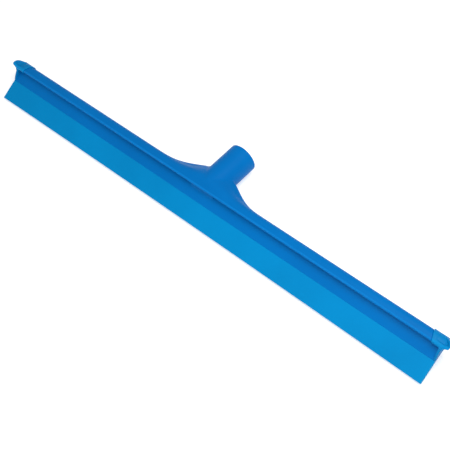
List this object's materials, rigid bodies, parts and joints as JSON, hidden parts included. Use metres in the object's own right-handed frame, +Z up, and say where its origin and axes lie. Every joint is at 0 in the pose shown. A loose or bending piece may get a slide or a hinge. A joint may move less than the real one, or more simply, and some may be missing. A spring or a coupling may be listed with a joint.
{
  "type": "floor squeegee head",
  "caption": "Hygienic floor squeegee head: hard plastic beam with a splash lip and handle socket, moulded with a flexible wiping blade and a soft wall bumper at each end.",
  "frame": {"origin": "centre of the bounding box, on the flat surface that the head lies on, front face up", "axes": "+X along the blade, +Y along the handle socket and out of its mouth, +Z up, out of the head's front"},
  "size_m": [0.619, 0.0974, 0.034],
  "materials": {
    "hard_plastic": "satin moulded polypropylene, deep blue",
    "soft_rubber": "smooth matt thermoplastic rubber, lighter blue"
  },
  "bodies": {
    "head": {"left_beam": "hard_plastic", "left_flare": "hard_plastic", "handle_socket": "hard_plastic", "right_flare": "hard_plastic", "right_beam": "hard_plastic", "blade_root": "soft_rubber", "left_bumper": "soft_rubber", "right_bumper": "soft_rubber"},
    "lip": {"blade": "soft_rubber"}
  },
  "joints": [
    {"name": "blade_flex", "type": "hinge", "parent": "head", "child": "lip", "pos_m": [0, -0.03418, 0.00918], "axis": [1, 0, 0], "range_deg": [-25, 25], "stiffness_Nm_per_rad": 4}
  ]
}
